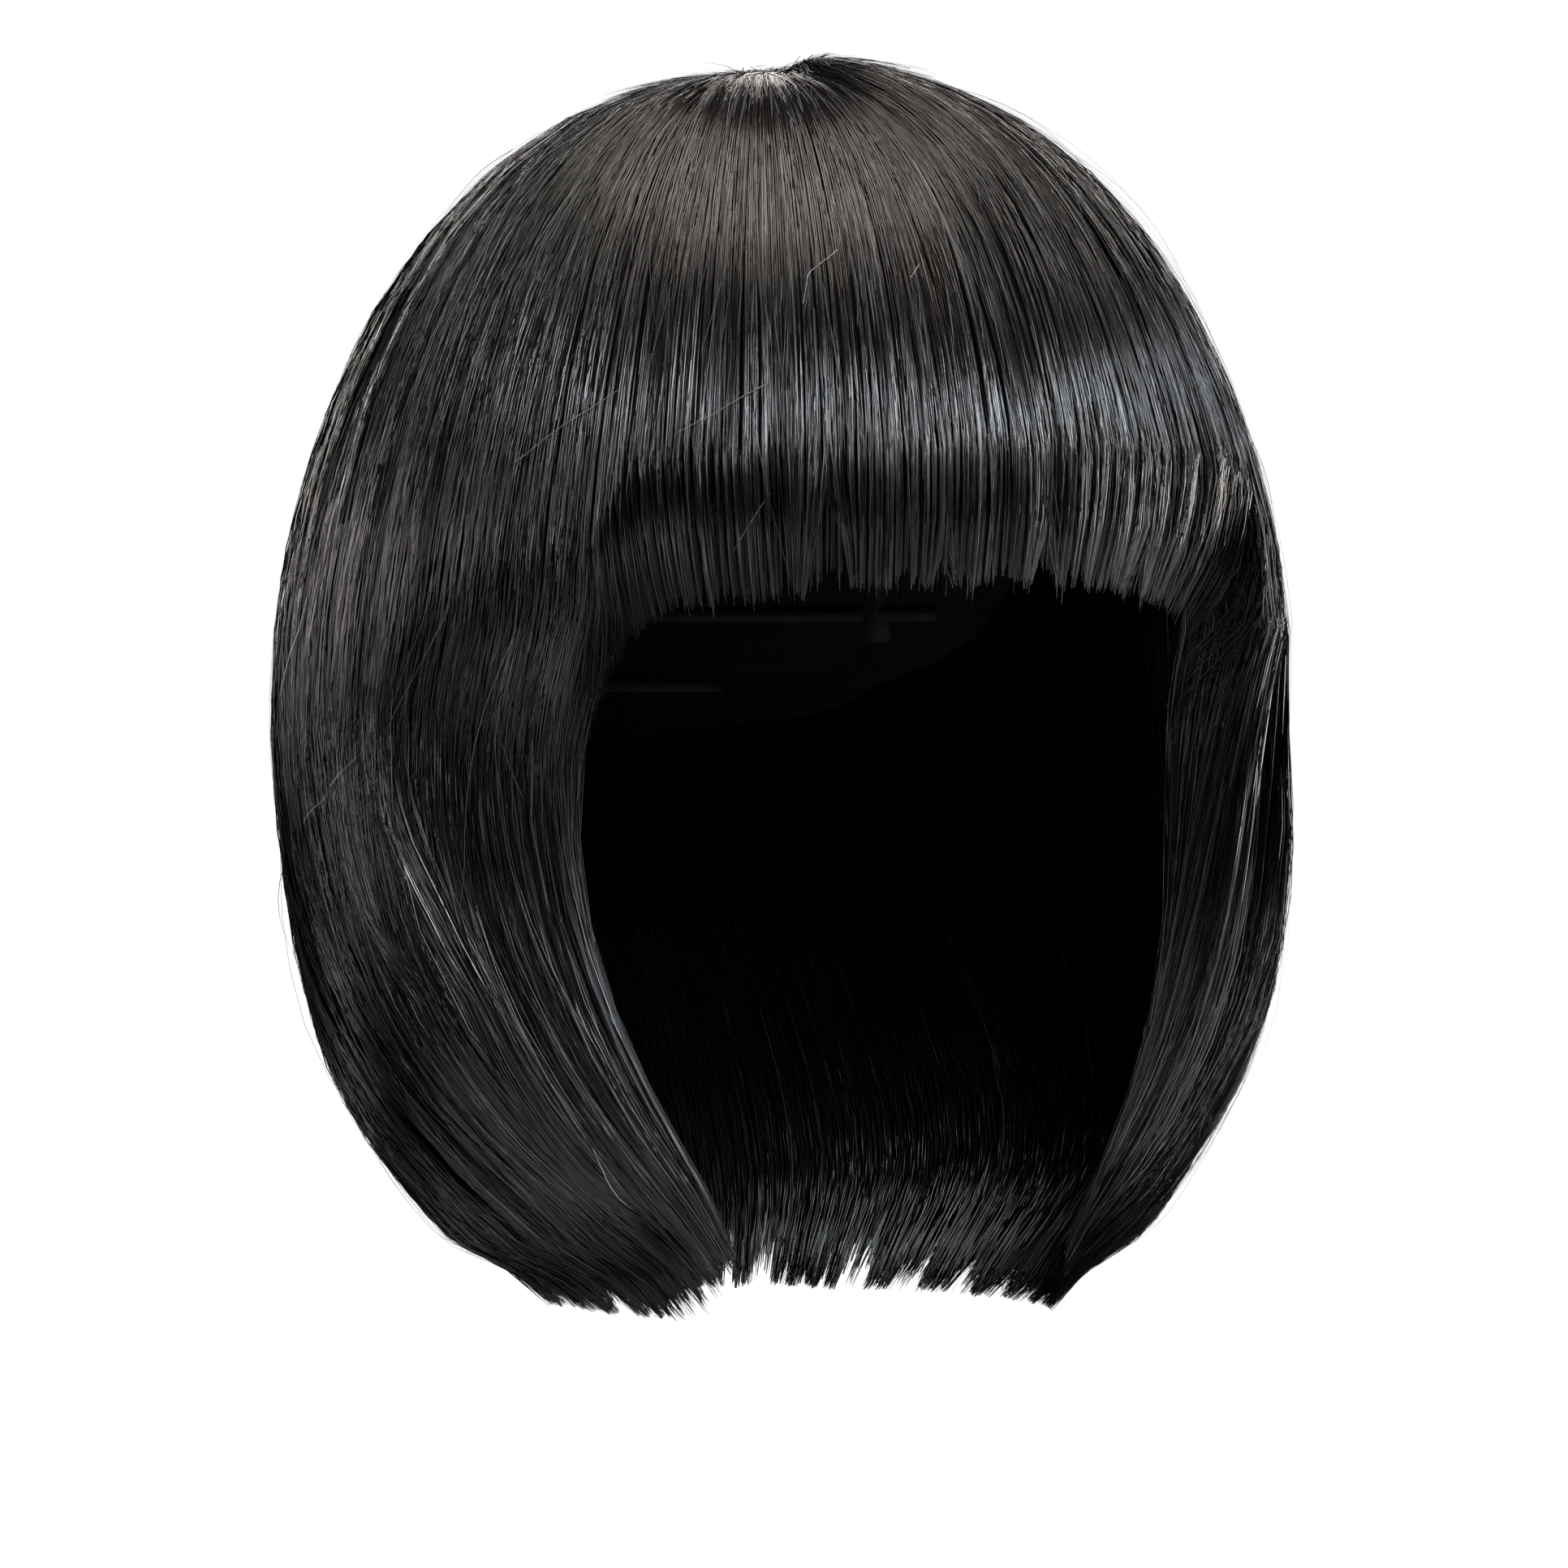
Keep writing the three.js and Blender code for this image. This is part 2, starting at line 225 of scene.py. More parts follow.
def thinning(angle, t):
    """The share of thickness that the side hair's rounded front edge leaves."""
    folded = fold(angle)
    free = smoothstep(t, FRINGE_END - 0.1, FRINGE_END + 0.4)
    inset = np.clip((folded - FRINGE_HALF_ANGLE) / EDGE_ROUND, 0, 1)
    edge = blend(EDGE_WALL, 1, np.sqrt(inset))
    return np.where(folded < FRINGE_HALF_ANGLE, 1, blend(1, edge, free))


class Locks:
    """The locks of a section: their borders in degrees, and each one's middle and length."""

    def __init__(self, low, high, count, seed):
        jitter = [LOCK_JITTER * (chance(seed + i) - 0.5) * (0 < i < count) for i in range(count + 1)]
        self.borders = low + (high - low) * (np.arange(count + 1) + jitter) / count
        self.peaks = np.array([0.5 + LOCK_JITTER * (chance(seed + i + 50) - 0.5) for i in range(count)])
        self.lengths = np.array([blend(SHORTEST_LOCK, 1, chance(seed + i + 90)) for i in range(count)])
        self.low, self.high = low, high

    def shares(self, angle):
        """The ridge and tip shares at an angle: 0 between locks and up to 1 in the middle of one."""
        i = np.clip(np.searchsorted(self.borders, angle) - 1, 0, len(self.peaks) - 1)
        f = np.clip((angle - self.borders[i]) / (self.borders[i + 1] - self.borders[i]), 0, 1)
        near = np.where(f < self.peaks[i], f / self.peaks[i], (1 - f) / (1 - self.peaks[i]))
        return np.sin(np.pi * f), near * self.lengths[i]


def fringe_drop(angle, tip):
    return FRINGE_LENGTH + FRINGE_ARCH * (angle / FRINGE_HALF_ANGLE) ** 2 - FRINGE_NOTCH * (1 - tip)


def hanging_drop(angle, tip):
    folded = fold(angle)
    corner = CURTAIN_RISE * np.clip(1 - (folded - FRINGE_HALF_ANGLE) / CORNER_SPAN, 0, 1)
    return BOB_LENGTH - corner - NOTCH * (1 - tip)


def make_object(name, points, faces, material, uv, normals=None, **values):
    """A piece from arrays: points, faces of four corners, map places and named values at the points."""
    mesh = bpy.data.meshes.new(name)
    corners = faces.ravel()
    mesh.vertices.add(len(points))
    mesh.vertices.foreach_set("co", np.ascontiguousarray(points, np.float32).ravel())
    mesh.loops.add(len(corners))
    mesh.loops.foreach_set("vertex_index", corners.astype(np.int32))
    mesh.polygons.add(len(faces))
    mesh.polygons.foreach_set("loop_start", np.arange(0, len(corners), 4, dtype=np.int32))
    mesh.update(calc_edges=True)
    layer = mesh.uv_layers.new(name="OFBake")
    layer.data.foreach_set("uv", np.ascontiguousarray(uv[corners], np.float32).ravel())
    for key, value in values.items():
        attribute = mesh.attributes.new(key, "FLOAT", "POINT")
        attribute.data.foreach_set("value", np.ascontiguousarray(value, np.float32))
    if normals is not None:
        mesh.normals_split_custom_set_from_vertices(normals.astype(np.float32))
    mesh.materials.append(material)
    piece = bpy.data.objects.new(name, mesh)
    bpy.context.scene.collection.objects.link(piece)
    return piece


def unit(vectors):
    return vectors / np.linalg.norm(vectors, axis=-1, keepdims=True).clip(1e-12)


FIBRE_CURVE = math.radians(58)  # how far a ribbon's edge normals lean, so that it shades as a round fibre


def ribbons(paths, facing, widths, rolls):
    """Points, faces, normals and map places of one ribbon along each path."""
    count, steps, _ = paths.shape
    along = unit(np.gradient(paths, axis=1))
    side = unit(np.cross(facing, along))
    up = np.cross(along, side)
    turn = rolls[:, None, None]
    across = np.cos(turn) * side + np.sin(turn) * up
    face = np.cos(turn) * up - np.sin(turn) * side
    half = (widths / 2)[..., None]
    points = np.stack([paths - across * half, paths + across * half], 2)
    lean = math.sin(FIBRE_CURVE) * across
    normals = np.stack([face * math.cos(FIBRE_CURVE) - lean, face * math.cos(FIBRE_CURVE) + lean], 2)
    first = (np.arange(count)[:, None] * steps + np.arange(steps - 1)) * 2
    faces = np.stack([first, first + 2, first + 3, first + 1], -1).reshape(-1, 4)
    return points.reshape(-1, 3), faces, normals.reshape(-1, 3)


def cell_map(count, steps, low, high):
    """Map places of ribbons: one narrow cell each, in rows between the heights low and high."""
    rows = max(1, round(math.sqrt(count) / 8))
    columns = math.ceil(count / rows)
    row, column = np.divmod(np.arange(count), columns)
    u = (column[:, None, None] + np.array([0.1, 0.9])) / columns * np.ones((1, steps, 1))
    v = blend(low, high, (row[:, None, None] + np.linspace(0.04, 0.96, steps)[:, None]) / rows)
    return np.stack(np.broadcast_arrays(u, v), -1).reshape(-1, 2)


def outward(angle, t, offset):
    return unit(locate(angle, t, offset + MM) - locate(angle, t, offset))


FULL = 1


class Hair:
    """Collects the strands and shells of one piece."""

    def __init__(self):
        self.points, self.faces, self.normals, self.maps, self.tints = [], [], [], [], []
        self.total = 0

    def add(self, points, faces, normals, places, tints):
        self.points.append(points)
        self.faces.append(faces + self.total)
        self.normals.append(normals)
        self.maps.append(places)
        self.tints.append(tints)
        self.total += len(points)

    def strands(self, angle, t, offset, width, rolls, tints, rows):
        """Adds one strand along each path. A strand has one tint, or one for each of its steps."""
        paths = locate(angle, t, offset)
        facing = outward(angle, t, offset)
        points, faces, normals = ribbons(paths, facing, width, rolls)
        steps = paths.shape[1]
        along = np.broadcast_to(tints.reshape(len(tints), -1), (len(tints), steps))
        per_point = np.repeat(along, 2, axis=1).ravel()
        self.add(points, faces, normals, cell_map(len(tints), steps, *rows), per_point)

    def build(self, name, material):
        return make_object(
            name,
            np.concatenate(self.points),
            np.concatenate(self.faces),
            material,
            np.concatenate(self.maps),
            np.concatenate(self.normals),
            tint=np.concatenate(self.tints),
        )


def shell_grid(hair, angles, t, offset, flip):
    """Adds one sheet of the dark mass of hair behind the strands."""
    columns, rings = t.shape
    points = locate(angles, t, offset)
    normals = outward(angles, t, offset) * (-1 if flip else 1)
    index = np.arange(columns * rings).reshape(columns, rings)
    a, b, c, d = index[:-1, :-1], index[:-1, 1:], index[1:, 1:], index[1:, :-1]
    order = [a, d, c, b] if flip else [a, b, c, d]
    faces = np.stack(order, -1).reshape(-1, 4)
    u = np.broadcast_to(np.linspace(0.01, 0.99, columns)[:, None], t.shape)
    v = np.broadcast_to(np.linspace(0.001, 0.019, rings) + (0.02 if flip else 0), t.shape)
    flat = np.zeros(points.size // 3)
    places = np.stack([u, v], -1).reshape(-1, 2)
    hair.add(points.reshape(-1, 3), faces, normals.reshape(-1, 3), places, flat)


WHORL_END = 0.085  # level where the whorl gives way to the sections
MASS_DEPTH = 3.2 * MM  # how far behind the strands' surface the dark mass lies
MASS_RINGS = 22
STRAND_STEPS = 17
FRINGE_STEPS = 14
INNER_STEPS = 11
COARSE_CLUMP = 4.2  # degrees
FINE_CLUMP = 1.15
OUTER_STRAND = (0.26, 0.46)  # least and most width in millimetres
LAID_STRAND = (0.24, 0.42)
EDGE_STRAND = (0.3, 0.5)
INNER_STRAND = (0.36, 0.7)
WHORL_SHARE = 0.22  # of the strands, which start at the whorl
DEEPEST_STRAND = 3.4 * MM
EMERGING_DEPTH = 1.5 * MM
CORNER_START = 48.5  # degrees at which the fringe's strands begin to run on down into the side hair
CORNER_RUN = 34 * MM
EDGE_INSET = 11  # degrees of the front edge that are filled through its depth
WHORL_DIMPLE = 4.5 * MM
WHORL_SWIRL = 34  # degrees
PAINTED_GLINT_SHARE = 0.15  # of the whorl's strands, which catch the light


class Clumps:
    """Strands of a section in clumps of about one size, each with its own centre and random habits."""

    def __init__(self, rng, low, high, size):
        self.count = max(1, round((high - low) / size))
        self.low = low
        self.size = (high - low) / self.count
        self.centre = low + (np.arange(self.count) + 0.5 + rng.uniform(-0.3, 0.3, self.count)) * self.size
        self.drift = rng.normal(0, 1, self.count)
        self.lift = rng.uniform(0, 1, self.count)
        self.phase = rng.uniform(0, 2 * np.pi, (self.count, 3))

    def of(self, root):
        return np.clip(((root - self.low) / self.size).astype(int), 0, self.count - 1)


class Section:
    """One cut of hair: its angles, locks, how long its hair is and how it is clumped."""

    def __init__(self, low, high, locks, seed, drop_at, taper=TIP_TAPER):
        self.low, self.high = low, high
        self.taper = taper
        self.drop_at = drop_at
        self.random = np.random.default_rng(seed)
        self.locks = locks
        self.coarse = Clumps(self.random, low, high, COARSE_CLUMP)
        self.fine = Clumps(self.random, low, high, FINE_CLUMP)

    def thickness(self, root, angle, t, end):
        """How far out the hair's surface lies over its inner side."""
        to_tip = np.clip((end - t) * (BOB_LENGTH - HEAD_DEPTH) / self.taper, 0, 1) ** TIP_ROUNDING
        ridge, _ = self.locks.shares(root)
        relief = LOCK_RELIEF * blend(0.3, 1, smoothstep(t, 0, 1.2)) * ridge * to_tip
        return np.maximum(pad_at(angle, t) * to_tip * thinning(root, t), TIP_WALL) + relief

    def end_drop(self, root):
        """How low the hair is cut: locks end bluntly, with narrow notches between them."""
        _, tip = self.locks.shares(root)
        return self.drop_at(root, np.minimum(1, 0.68 + 0.7 * tip))

    def mass(self, hair, shortening):
        """The dark mass behind the strands, which ends this far above their tips."""
        columns = max(8, round((self.high - self.low) / 2))
        root = np.linspace(self.low, self.high, columns)
        end = level_at_drop(self.end_drop(root) - shortening)
        t = blend(0.03, end[:, None], np.linspace(0, 1, MASS_RINGS))
        angle = swept(root[:, None], t)
        thick = self.thickness(root[:, None], angle, t, end[:, None])
        outer = np.maximum(thick - MASS_DEPTH, 0.6 * MM)
        shell_grid(hair, angle, t, HAIR_START + outer, False)
        shell_grid(hair, angle, t, HAIR_START + 0.5 * MM + 0 * outer, True)

    def waves(self, root, t):
        """Small in and out bends that neighbouring strands share, coarse and fine."""
        coarse = self.coarse.of(root)
        fine = self.fine.of(root)
        grow = smoothstep(t, 0.05, 0.6)
        bend = blend(0.5, 1, smoothstep(t, 0.45, 0.75))
        broad = np.sin(7.5 * t + self.coarse.phase[coarse, 0]) * 0.45 * bend + self.coarse.lift[coarse] * 0.6
        narrow = np.sin(14 * t + self.fine.phase[fine, 0]) * 0.2 * bend + self.fine.lift[fine] * 0.4
        return (broad + narrow - 0.8) * MM * grow

    def drifts(self, root, t):
        """How far locks wander sideways, in degrees."""
        coarse = self.coarse.of(root)
        fine = self.fine.of(root)
        low = smoothstep(t, 0.7, 1.8)
        broad = self.coarse.drift[coarse] * 1.5 * low + 0.5 * np.sin(3.1 * t + self.coarse.phase[coarse, 1])
        narrow = self.fine.drift[fine] * 0.55 * low + 0.2 * np.sin(5.3 * t + self.fine.phase[fine, 1])
        return (broad + narrow) * smoothstep(t, 0.1, 0.9)


def part_fringe(root, drop, end_drop):
    """How far strands are pushed aside where the fringe parts, in degrees."""
    push = np.zeros_like(drop)
    for middle, half, height in FRINGE_GAPS:
        away = (root - middle) / half
        share = np.clip(1 - np.abs(away), 0, 1) * np.where(away < 0, -1, 1)
        push = push + share * half * 0.75 * smoothstep(drop, end_drop - height * 1.5, end_drop)
    return push


def strand_widths(rng, count, steps, narrow, wide):
    """Widths in metres from a range in millimetres, which narrow to three tenths over the last twelfth."""
    taper = blend(0.3, 1, smoothstep(1 - np.linspace(0, 1, steps), 0, 0.08))
    return rng.uniform(narrow, wide, count)[:, None] * MM * taper


def fill_section(hair, section, count, steps, rows, wandering=1.0, fringe=False):
    """Lays the outer strands of a section."""
    rng = section.random
    count = int(count * FULL)
    root = rng.uniform(section.low, section.high, count)
    ragged = rng.normal(0, 1, count) * 1.7 * MM - rng.exponential(1, count) ** 1.7 * 1.9 * MM
    end_drop = section.end_drop(root) + ragged
    cut = end_drop[:, None]
    if fringe:
        corner = smoothstep(np.abs(root), CORNER_START, FRINGE_HALF_ANGLE) ** 2
        end_drop = end_drop + CORNER_RUN * corner * rng.uniform(0, 1, count)
    end = level_at_drop(end_drop)[:, None]

    # Some strands start at the whorl, and the others come out lower down from under the ones above
    place = rng.uniform(0, 1, count)
    later = 0.07 + 0.8 * (place - WHORL_SHARE)
    start = np.where(place < WHORL_SHARE, 0.025 + 0.2 * place, later)[:, None]
    t = blend(start, end, np.linspace(0, 1, steps))
    emerging = 1 - smoothstep(t - start, 0, 0.32)

    # Fine clumps draw together towards the tips
    fine = section.fine.of(root)
    centre = section.fine.centre[fine]
    gather = smoothstep(t, end - 0.6, end) * rng.uniform(0.1, 0.8, count)[:, None]
    path_root = blend(root[:, None], centre[:, None], gather)
    phase = rng.uniform(0, 2 * np.pi, (count, 2, 1))
    own = 0.3 * (np.sin(2.3 * t + phase[:, 0]) + 0.5 * np.sin(6.1 * t + phase[:, 1])) * smoothstep(t, 0.1, 1)
    side = root[:, None]
    free = np.clip(np.minimum(side - section.low, section.high - side) / 3, 0.35, 1)
    angle = swept(path_root + wandering * free * section.drifts(side, t) + wandering * own, t)
    if fringe:
        loyal = rng.uniform(0, 1, count)[:, None] > 0.12
        angle = angle + loyal * part_fringe(side, Level(t).drop, end_drop[:, None])

    depth = rng.uniform(0, 1, count)[:, None] ** 1.5
    thick = section.thickness(path_root, angle, t, end)
    sunk = depth * np.minimum(thick * 0.6, DEEPEST_STRAND) + emerging * EMERGING_DEPTH * (start > 0.07)
    fuzz = rng.normal(0, 1, count)[:, None] * 0.16 * MM * smoothstep(t, 0.3, 1.5)
    ripple = np.sin(19 * t + 3 * phase[:, 0]) * smoothstep(t, 0.45, 0.7)
    fuzz = fuzz + rng.normal(0, 1, count)[:, None] * 0.11 * MM * ripple
    offset = HAIR_START + thick - sunk + fuzz + section.waves(side, t) * (1 - 0.6 * depth)

    widths = strand_widths(rng, count, steps, *OUTER_STRAND)

    # Fine clumps share part of their tint. It fades to the fringe's tips, to the side hair's front edge
    # lower down and between locks: painted shade, with darker, duller strands where the fringe's tips curl
    # under, where the head would shade the front edge, and in the grooves between locks.
    own_share = 0.8 if fringe else 0.55
    tints = rng.beta(1.6, 2.4, count) * own_share + (1 - own_share) * section.fine.lift[fine] ** 1.5
    tints = np.clip(tints, 0.04, 0.9)[:, None]
    if fringe:
        # Painted shade: the tint fades over the 25 mm above each fringe strand's cut, to a fiftieth over the
        # last 8 mm.
        tints = tints * blend(0.02, 1, smoothstep(cut - Level(t).drop, 8 * MM, 25 * MM))
    else:
        ridge, _ = section.locks.shares(side)
        # Painted shade: lower down, strands within about 14 degrees of the side hair's front edge are darker
        # and duller, as if the head shaded them.
        edge = blend(0.25, 1, smoothstep(fold(side) - FRINGE_HALF_ANGLE, 1.5, 14))
        # Painted shade: strands in the grooves between locks are darker and duller.
        painted_groove_shade = blend(0.2, 1, smoothstep(ridge, 0.1, 0.6))
        tints = tints * blend(1, edge, smoothstep(t, 0.7, 1)) * blend(1, painted_groove_shade, smoothstep(t, 0.35, 0.7))
    hair.strands(angle, t, np.maximum(offset, HAIR_START), widths, rng.normal(0, 0.3, count), tints, rows)


def fill_edge(hair, section, edge, count, steps, rows):
    """Lays strands through the depth of the side hair's free front edge."""
    rng = section.random
    count = int(count * FULL)
    inset = rng.uniform(0, 1, count) ** 1.7 * EDGE_INSET
    root = edge + math.copysign(1, (section.low + section.high) / 2 - edge) * inset
    end = level_at_drop(section.end_drop(root) - rng.exponential(3, count) * MM)[:, None]
    t = blend(rng.uniform(0.75, 1.0, count)[:, None], end, np.linspace(0, 1, steps))
    phase = rng.uniform(0, 2 * np.pi, count)[:, None]
    angle = swept(root[:, None] + 0.5 * np.sin(2.6 * t + phase), t)
    thick = section.thickness(root[:, None], angle, t, end)
    offset = HAIR_START + rng.uniform(0, 1, count)[:, None] * thick
    widths = strand_widths(rng, count, steps, *EDGE_STRAND)
    rolls = rng.uniform(-1.2, 1.2, count)
    # These strands get the lowest tints, near black and dull: painted shade where the head would shade the
    # side hair's front edge.
    hair.strands(angle, t, offset, widths, rolls, rng.uniform(0, 0.06, count), rows)


def fill_inside(hair, section, count, steps, rows):
    """Lays the strands that show from inside the wig."""
    rng = section.random
    count = int(count * FULL)
    root = rng.uniform(section.low, section.high, count)
    end = level_at_drop(section.end_drop(root) - rng.exponential(5, count) * MM)[:, None]
    t = blend(rng.uniform(0.6, 0.95, count)[:, None], end, np.linspace(0, 1, steps))
    phase = rng.uniform(0, 2 * np.pi, count)[:, None]
    angle = swept(root[:, None] + 0.8 * np.sin(2.6 * t + phase), t)
    offset = HAIR_START + rng.uniform(-0.4, 0.5, count)[:, None] * MM + 0 * t
    widths = strand_widths(rng, count, steps, *INNER_STRAND)
    rolls = np.pi + rng.normal(0, 0.3, count)
    hair.strands(angle, t, offset, widths, rolls, rng.uniform(0.02, 0.5, count), rows)


def painted_shade_slits(hair, section, count, rows):
    """Short, dark, dull strands near the crown: painted shade that reads as gaps between the shining ones.
    """
    rng = section.random
    count = int(count * FULL)
    steps = 5
    root = rng.uniform(section.low, section.high, count)[:, None]
    start = rng.uniform(0.12, 0.75, count)[:, None]
    s = np.linspace(0, 1, steps)
    t = start + rng.uniform(0.03, 0.14, count)[:, None] * s
    angle = swept(root + section.drifts(root, t) + rng.normal(0, 0.7, count)[:, None] * s, t)
    end = level_at_drop(section.end_drop(root))
    offset = HAIR_START + section.thickness(root, angle, t, end) + section.waves(root, t) + 0.1 * MM
    widths = rng.uniform(0.2, 0.42, count)[:, None] * MM * np.sin(np.pi * blend(0.06, 0.94, s))
    # Painted shade: the lowest tint, near black and dull.
    hair.strands(angle, t, offset, widths, rng.normal(0, 0.2, count), np.full(count, 0.01), rows)


def laid_lock(hair, section, course, spread, lift, count, rows):
    """A lock that lies over the others. Its course has rows of level and angle at the whorl."""
    rng = section.random
    count = int(count * FULL)
    levels, roots = np.array(course).T
    aside = rng.normal(0, 1, count)[:, None]
    length = rng.uniform(0, 1, (count, 2, 1))
    first = levels[0] + (levels[-1] - levels[0]) * 0.3 * length[:, 0] ** 2
    last = levels[-1] - (levels[-1] - levels[0]) * 0.4 * length[:, 1] ** 2
    t = blend(first, last, np.linspace(0, 1, STRAND_STEPS))
    phase = rng.uniform(0, 2 * np.pi, count)[:, None]
    root = np.interp(t, levels, roots) + aside * spread + 0.3 * np.sin(6 * t + phase)
    inside = np.clip(root, section.low, section.high)
    angle = swept(root, t)
    end = level_at_drop(section.end_drop(inside))
    over = np.sin(np.pi * np.linspace(0.08, 0.92, STRAND_STEPS)) * np.exp(-0.5 * aside**2)
    offset = HAIR_START + section.thickness(inside, angle, t, end) + lift * (over - 0.35)
    offset = offset - rng.uniform(0, 0.9, count)[:, None] * MM
    widths = strand_widths(rng, count, STRAND_STEPS, *LAID_STRAND)
    # The lock's strands get high tints, a lighter and glossier colour: partly a painted highlight, besides
    # the lift that lays them over the others.
    hair.strands(angle, t, offset, widths, rng.normal(0, 0.3, count), rng.uniform(0.6, 0.98, count), rows)


def placed_strays(hair, section, courses, rows):
    """Single loose strands on the surface, each with rows of level, angle at the whorl and lift in mm."""
    steps = 12
    for course in courses:
        levels, roots, lifts = np.array(course).T
        s = np.linspace(0, len(levels) - 1, steps)
        knots = np.arange(len(levels))
        t, root, rise = (np.interp(s, knots, values)[None, :] for values in (levels, roots, lifts))
        inside = np.clip(root, section.low, section.high)
        end = level_at_drop(section.end_drop(inside))
        angle = swept(root, t)
        offset = HAIR_START + section.thickness(inside, angle, t, end) + (0.2 + rise) * MM
        widths = 0.2 * MM * (1 - 0.5 * (s / s[-1]) ** 2)[None, :]
        # Painted highlight: each stray gets the top tint, a light grey with the least roughness.
        hair.strands(angle, t, offset, widths, np.zeros(1), np.ones(1), rows)


def stray_strands(hair, section, count, rows, lift, cross):
    """A few strands that have come away from the surface and cross the others."""
    rng = section.random
    count = int(count * FULL)
    steps = 9
    root = rng.uniform(section.low + 1, section.high - 1, count)
    end = level_at_drop(section.end_drop(root))[:, None]
    start = (rng.uniform(0.12, 0.85, count) * end[:, 0])[:, None]
    stop = np.minimum(start + rng.uniform(0.12, 0.5, count)[:, None], end)
    s = np.linspace(0, 1, steps)
    t = blend(start, stop, s)
    drift = rng.normal(0, cross, count)[:, None]
    root_path = root[:, None] + drift * s**1.5
    angle = swept(root_path, t)
    rise = rng.exponential(lift, count)[:, None]
    thick = section.thickness(np.clip(root_path, section.low, section.high), angle, t, end)
    offset = HAIR_START + thick + 0.1 * MM + rise * np.sin(np.pi * (0.15 + 0.85 * s)) ** 1.5
    width = rng.uniform(0.14, 0.24, count)[:, None] * MM * (1 - 0.6 * s)
    # Their high tints, up to the light grey top, partly paint the highlight that loose strands catch.
    hair.strands(angle, t, offset, width, rng.normal(0, 0.4, count), rng.uniform(0.5, 1, count), rows)


# Materials


def node_material(name):
    material = bpy.data.materials.new(name)
    material.use_nodes = True
    return material, material.node_tree.nodes, material.node_tree.links


def ramp(nodes, stops, fac):
    node = nodes.new("ShaderNodeValToRGB")
    node.color_ramp.elements[0].position, node.color_ramp.elements[0].color = stops[0]
    node.color_ramp.elements[1].position, node.color_ramp.elements[1].color = stops[-1]
    for place, colour in stops[1:-1]:
        node.color_ramp.elements.new(place).color = colour
    node.id_data.links.new(fac, node.inputs["Fac"])
    return node.outputs["Color"]


def hair_material():
    """Near-black fibre with a clear shine. Each strand has its own tint and roughness."""
    material, nodes, links = node_material("hair_fibre")
    shader = nodes["Principled BSDF"]
    tint = nodes.new("ShaderNodeAttribute")
    tint.attribute_name = "tint"
    # Low tints give the near-black, dull strands used as painted shade; high tints, up to the light grey at
    # 1, give the lighter, glossier strands used as painted glints and highlights. Otherwise the tints vary
    # at random from strand to strand.
    colours = [
        (0.0, (0.0016, 0.0013, 0.0012, 1)),
        (0.35, (0.0046, 0.0036, 0.0031, 1)),
        (0.75, (0.0095, 0.0074, 0.0063, 1)),
        (0.9, (0.016, 0.0132, 0.0118, 1)),
        (1.0, (0.06, 0.058, 0.057, 1)),
    ]
    links.new(ramp(nodes, colours, tint.outputs["Fac"]), shader.inputs["Base Color"])
    roughness = [(0.0, 0.7), (0.06, 0.25), (0.9, 0.12)]
    gloss = [(place, (rough, rough, rough, 1)) for place, rough in roughness]
    links.new(ramp(nodes, gloss, tint.outputs["Fac"]), shader.inputs["Roughness"])
    shader.inputs["IOR"].default_value = 1.55
    return material


def cap_material(name, scale, strength, colour, roughness):
    """Matt black textile: crossed threads at the given scale."""
    material, nodes, links = node_material(name)
    shader = nodes["Principled BSDF"]
    place = nodes.new("ShaderNodeTexCoord")
    waves = []
    for direction in ("X", "Z"):
        wave = nodes.new("ShaderNodeTexWave")
        wave.bands_direction = direction
        wave.inputs["Scale"].default_value = scale
        wave.inputs["Distortion"].default_value = 1.2
        links.new(place.outputs["Object"], wave.inputs["Vector"])
        waves.append(wave.outputs["Fac"])
    thread = nodes.new("ShaderNodeMath")
    thread.operation = "MAXIMUM"
    links.new(waves[0], thread.inputs[0])
    links.new(waves[1], thread.inputs[1])
    dark = tuple(0.3 * c for c in colour)
    colours = [(0.2, (*dark, 1)), (0.8, (*colour, 1))]
    links.new(ramp(nodes, colours, thread.outputs[0]), shader.inputs["Base Color"])
    bump = nodes.new("ShaderNodeBump")
    bump.inputs["Strength"].default_value = strength
    bump.inputs["Distance"].default_value = 0.3 * MM
    links.new(thread.outputs[0], bump.inputs["Height"])
    links.new(bump.outputs["Normal"], shader.inputs["Normal"])
    shader.inputs["Roughness"].default_value = roughness
    return material


# Sections

HAIR = hair_material()
BACK_MIDDLE = 180
BACK_LOCKS = Locks(SIDE_ANGLE, 360 - SIDE_ANGLE, 14, 73)
FRINGE_LOCKS = Locks(-FRINGE_HALF_ANGLE, FRINGE_HALF_ANGLE, 14, 11)
FRINGE = Section(-FRINGE_HALF_ANGLE, FRINGE_HALF_ANGLE, FRINGE_LOCKS, 11, fringe_drop, FRINGE_TAPER)
RIGHT_LOCKS = Locks(-SIDE_ANGLE, -FRINGE_HALF_ANGLE, 7, 31)
RIGHT = Section(-SIDE_ANGLE, -FRINGE_HALF_ANGLE, RIGHT_LOCKS, 31, hanging_drop)
LEFT_LOCKS = Locks(FRINGE_HALF_ANGLE, SIDE_ANGLE, 7, 57)
LEFT = Section(FRINGE_HALF_ANGLE, SIDE_ANGLE, LEFT_LOCKS, 57, hanging_drop)
BACK_LEFT = Section(SIDE_ANGLE, BACK_MIDDLE, BACK_LOCKS, 73, hanging_drop)
BACK_RIGHT = Section(BACK_MIDDLE, 360 - SIDE_ANGLE, BACK_LOCKS, 74, hanging_drop)


def finish_piece(piece, slot, *nodes):
    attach(piece, "root")
    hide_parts(*nodes)


